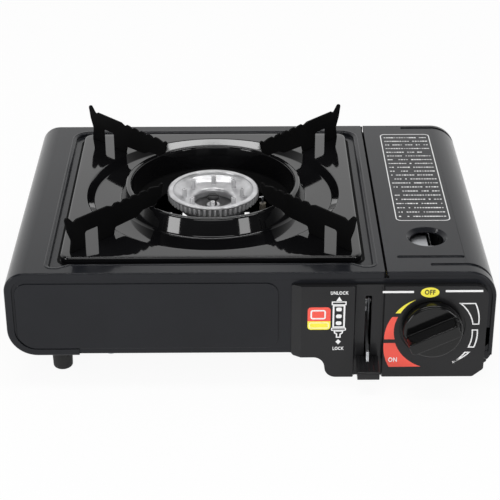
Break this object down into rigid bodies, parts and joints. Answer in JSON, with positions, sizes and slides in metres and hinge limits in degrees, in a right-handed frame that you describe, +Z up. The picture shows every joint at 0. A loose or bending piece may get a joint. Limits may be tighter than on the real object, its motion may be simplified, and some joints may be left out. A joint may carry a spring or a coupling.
{
  "type": "portable gas stove",
  "caption": "Low box-shaped butane camping stove: square drip tray and pan blades round a burner, hinged cartridge cover, knob and lock lever.",
  "frame": {"origin": "centre of the overall footprint, at table height", "axes": "X right as the user faces the knob, Y towards the back, Z up"},
  "size_m": [0.345, 0.277, 0.1165],
  "materials": {
    "case_paint": "satin black powder coat",
    "tray_enamel": "gloss black enamel",
    "blade_paint": "matte black heat-proof coat",
    "cast_aluminium": "bead-blasted casting",
    "zinc_steel": "bright zinc plate",
    "grey_casting": "die-cast",
    "brass": "machined",
    "panel_plastic": "satin moulding",
    "knob_plastic": "gloss moulding",
    "foot_rubber": "moulded",
    "seal_rubber": "moulded",
    "igniter_plastic": "moulding",
    "lead_silicone": "silicone sleeve",
    "ceramic": "glazed"
  },
  "bodies": {
    "chassis": {"burner_casing": "case_paint", "front_panel": "case_paint", "rear_panel": "case_paint", "base_tray": "case_paint", "partition_wall": "case_paint", "control_panel": "panel_plastic", "foot_front_left": "foot_rubber", "foot_back_left": "foot_rubber", "foot_front_right": "foot_rubber", "foot_back_right": "foot_rubber", "floor_screws": "zinc_steel", "heat_shield": "zinc_steel", "burner_bracket": "zinc_steel", "burner_screw": "zinc_steel", "mixing_tube": "zinc_steel", "cartridge_seat": "zinc_steel", "cartridge_rails": "zinc_steel", "lever_bracket": "zinc_steel", "lever_pivot_pin": "zinc_steel", "hinge_pin_front": "zinc_steel", "hinge_pin_back": "zinc_steel", "electrode": "zinc_steel", "burner_cup": "cast_aluminium", "burner_cap": "cast_aluminium", "regulator_body": "grey_casting", "diaphragm_cap": "grey_casting", "gas_nozzle": "brass", "inlet_collar": "brass", "inlet_seal": "seal_rubber", "lead_grommet": "seal_rubber", "piezo_igniter": "igniter_plastic", "igniter_lead": "lead_silicone", "electrode_insulator": "ceramic"},
    "cover": {"compartment_cover": "case_paint"},
    "lever": {"lock_lever": "zinc_steel", "lever_tip": "panel_plastic"},
    "carriage": {"cartridge_carriage": "zinc_steel"},
    "knob": {"control_knob": "knob_plastic", "knob_shaft": "zinc_steel", "igniter_cam": "igniter_plastic"},
    "pan_support": {"drip_tray": "tray_enamel", "pan_blade_1": "blade_paint", "pan_blade_2": "blade_paint", "pan_blade_3": "blade_paint", "pan_blade_4": "blade_paint"}
  },
  "joints": [
    {"name": "cover_hinge", "type": "hinge", "parent": "chassis", "child": "cover", "pos_m": [0.1698, 0, 0.0175], "axis": [0, 1, 0], "range_deg": [0, 85]},
    {"name": "lever_pivot", "type": "hinge", "parent": "chassis", "child": "lever", "pos_m": [0.0828, -0.0855, 0.043], "axis": [-1, 0, 0], "range_deg": [0, 60]},
    {"name": "carriage_slide", "type": "slide", "parent": "chassis", "child": "carriage", "axis": [0, 1, 0], "range_m": [0, 0.007]},
    {"name": "knob_turn", "type": "hinge", "parent": "chassis", "child": "knob", "pos_m": [0.128, -0.1188, 0.044], "axis": [0, -1, 0], "range_deg": [-116, 14]},
    {"name": "pan_support_lift", "type": "slide", "parent": "chassis", "child": "pan_support", "axis": [0, 0, 1], "range_m": [0, 0.04]}
  ],
  "couplings": [
    {"joint": "carriage_slide", "follows": "lever_pivot", "m_per_rad": 0.006684}
  ]
}
